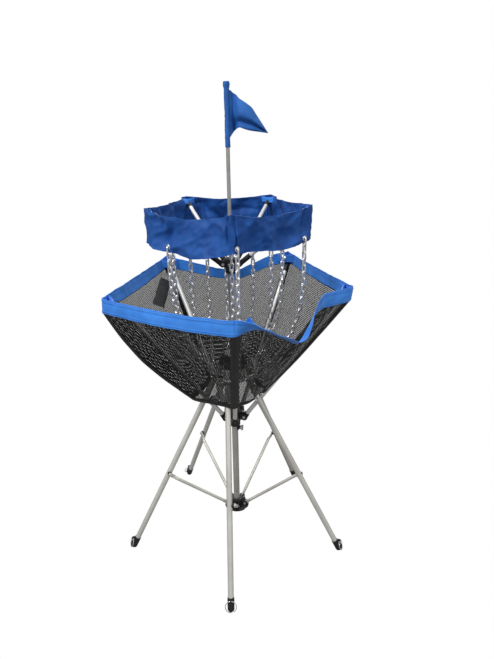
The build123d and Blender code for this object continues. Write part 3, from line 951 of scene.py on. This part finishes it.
def chain_tail(name, azimuth, spread, turns, seed):
    """Spare chain from the ring down to a small heap on the net's bottom."""
    top = spot(azimuth, RING_R + 0.004, RING_Z - 0.004)
    floor = HEM_Z + 0.010
    line = []
    for n in range(30):
        q = n / 29
        line.append(spot(azimuth + spread * q * 0.3, RING_R + 0.004 + 0.016 * q, top.z + (floor - top.z) * q))
    for n in range(1, 90):
        a = turns * 2 * math.pi * n / 90
        swing = azimuth + spread * 0.3 + spread * 0.5 * math.sin(a)
        radius = RING_R + 0.018 + 0.005 * math.cos(a * 1.3)
        height = floor + 0.010 * n / 90 + 0.004 * math.sin(a * 2.1 + seed)
        line.append(spot(swing, radius, height))
    shape = Shape()
    for n, (centre, along) in enumerate(even_steps(line, PITCH * 0.96, PITCH / 2)):
        first = along.orthogonal()
        turn = Matrix.Rotation(math.pi / 2 * (n % 2) + 0.4 * n, 3, along)
        link(shape, centre, along, turn @ first)
    piece = shape.piece(name, CHAIN)
    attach(piece, "sleeve")


# ---- pennant
PENNANT_START = 0.0045
PENNANT_TIP = 0.1012
# five or six points of PENNANT_TOP and PENNANT_LOW were projected from the picture, the rest given one by one
PENNANT_TOP = (
    (0.0, 1.3125), (0.009, 1.3095), (0.0175, 1.3030), (0.0245, 1.2985), (0.0300, 1.2915),
    (0.0400, 1.2850), (0.0520, 1.2770), (0.0619, 1.2690), (0.0720, 1.2540), (0.0850, 1.2350),
    (0.0960, 1.2190), (PENNANT_TIP, 1.2118),
)
PENNANT_LOW = (
    (0.0, 1.1950), (0.006, 1.2010), (0.0130, 1.2110), (0.0220, 1.2205), (0.0300, 1.2245),
    (0.0400, 1.2215), (0.0539, 1.2175), (0.0700, 1.2150), (0.0850, 1.2128), (PENNANT_TIP, 1.2100),
)
SLEEVE_LOW, SLEEVE_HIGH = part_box("flag")[0].z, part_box("flag")[1].z


def pennant():
    """The sleeve round the flagpole and the pennant that billows from it."""
    rows = []
    for z in spaced(30, SLEEVE_LOW + 0.0005, SLEEVE_HIGH - 0.0005):
        row = []
        for n in range(32):
            a = 2 * math.pi * n / 32
            direction = Vector((math.cos(a), math.sin(a), 0))
            point = direction * 0.0064 + UP * z
            flare = 0.0022 * math.exp(-(((SLEEVE_HIGH - 0.007 - z) / 0.007) ** 2))
            flare += 0.0006 * smooth((SLEEVE_LOW + 0.014 - z) / 0.004)
            ripple = 0.0006 * wave(point, 55, 3) + 0.0004 * crease(point, 90, 5)
            row.append(point + direction * (ripple + flare * (1 + 0.4 * math.sin(3 * a))))
        rows.append(row)
    shape = Shape()
    shape.grid(rows, lambda i, j, _: (j * 0.0013, i * 0.0052), closed=True)
    sleeve = shape.piece("flag_sleeve", FLAG, 0.0008)
    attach(sleeve, "flagpole")

    rows = []
    columns = spaced(46, 0.0, 1.0)
    levels = spaced(26, 0.0, 1.0)
    for t in levels:
        row = []
        for u in columns:
            x = PENNANT_START + u * (PENNANT_TIP - PENNANT_START)
            high, low = curve(PENNANT_TOP, x), curve(PENNANT_LOW, x)
            z = low + (high - low) * t
            billow = -0.016 * math.sin(math.pi * min(1.0, u * 1.05)) * math.sin(math.pi * t * 0.9 + 0.25)
            fold = 0.012 * math.exp(-(((t - 0.16 - 0.2 * u) / 0.12) ** 2)) * smooth(u * 3.5)
            hollow = 0.016 * math.exp(-(((u - 0.13) / 0.08) ** 2)) * (0.4 + 0.6 * (1 - t) ** 0.5)
            y = billow + fold + hollow + 0.0012 * wave(Vector((x, 0, z)), 45, 2)
            row.append(Vector((x, y * smooth(u * 8), z)))
        rows.append(row)
    shape = Shape()
    shape.grid(rows, lambda i, j, _: (columns[j] * 0.1, levels[i] * 0.09))
    cloth = shape.piece("pennant", FLAG, 0.0009, 0.0)
    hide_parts("flag")
    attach(cloth, "flagpole")


for k in range(MEMBERS):
    rim_band(k)
    net(k)
    corner_pocket(k)
    top_band(k)
tie_strap()
chains()
chain_tail("chain_heap_left", 318, 34, 2.2, 0.4)
chain_tail("chain_heap_right", 52, 26, 1.6, 1.9)
pennant()


# ---- floor, lights and camera
def stage():
    material, tree, shader = principled("floor_paper")
    shader.inputs["Base Color"].default_value = (0.22, 0.22, 0.22, 1)
    shader.inputs["Roughness"].default_value = 0.9
    shape = Shape()
    shape.grid([[Vector((x, y, 0)) for x in (-40, 40)] for y in (-40, 40)])
    floor = shape.piece("floor", material)
    floor.visible_camera = False


def area_light(name, place, target, size, power, colour=(1, 1, 1)):
    data = bpy.data.lights.new(name, "AREA")
    data.shape = "DISK"
    data.size = size
    data.energy = power
    data.color = colour
    lamp = bpy.data.objects.new(name, data)
    bpy.context.scene.collection.objects.link(lamp)
    lamp.location = place
    lamp.rotation_mode = "QUATERNION"
    lamp.rotation_quaternion = (Vector(target) - Vector(place)).to_track_quat("-Z", "Y")


def world_light(low, level, high):
    """Soft light, brighter from above; the backdrop itself is plain white."""
    world = bpy.data.worlds.new("studio")
    world.use_nodes = True
    tree = world.node_tree
    direction = node(tree, "ShaderNodeTexCoord").outputs["Generated"]
    height = node(tree, "ShaderNodeSeparateXYZ", {0: direction}).outputs[2]
    inputs = {"Value": height, "From Min": -1.0, "From Max": 1.0}
    share = node(tree, "ShaderNodeMapRange", inputs).outputs[0]
    stops = ((0.0, (low,) * 3), (0.5, (level,) * 3), (0.95, (high,) * 3))
    light = ramp(tree, share, stops)
    seen = node(tree, "ShaderNodeLightPath").outputs["Is Camera Ray"]
    mixed = node(tree, "ShaderNodeMix", {0: seen, 6: light, 7: (1, 1, 1, 1)}, data_type="RGBA")
    tree.links.new(mixed.outputs[2], tree.nodes["Background"].inputs["Color"])
    bpy.context.scene.world = world


def camera():
    """At the eye point that shows the object from the front and a little above."""
    pitch, yaw, roll = math.radians(20.72), math.radians(1.68), math.radians(-0.89)
    forward = Vector(
        (math.sin(yaw) * math.cos(pitch), math.cos(yaw) * math.cos(pitch), -math.sin(pitch))
    )
    right = Vector((math.cos(yaw), -math.sin(yaw), 0))
    above = right.cross(forward)
    tilted_right = right * math.cos(roll) + above * math.sin(roll)
    tilted_up = above * math.cos(roll) - right * math.sin(roll)
    data = bpy.data.cameras.new("camera")
    data.sensor_width = 36
    data.lens = 28.85
    eye = bpy.data.objects.new("camera", data)
    bpy.context.scene.collection.objects.link(eye)
    turn = Matrix((tilted_right, tilted_up, -forward)).transposed().to_4x4()
    eye.matrix_world = Matrix.Translation((0, -1.4038, 1.2191)) @ turn
    bpy.context.scene.camera = eye


bpy.context.scene.view_settings.view_transform = "Standard"
stage()
world_light(0.10, 0.34, 0.95)
area_light("key", (-1.5, -1.5, 3.0), (0, 0, 0.7), 1.0, 52)
area_light("fill", (2.4, -1.8, 2.0), (0, 0, 0.6), 2.0, 14)
area_light("back", (0.8, 2.4, 2.8), (0, 0, 0.8), 1.6, 22)
camera()
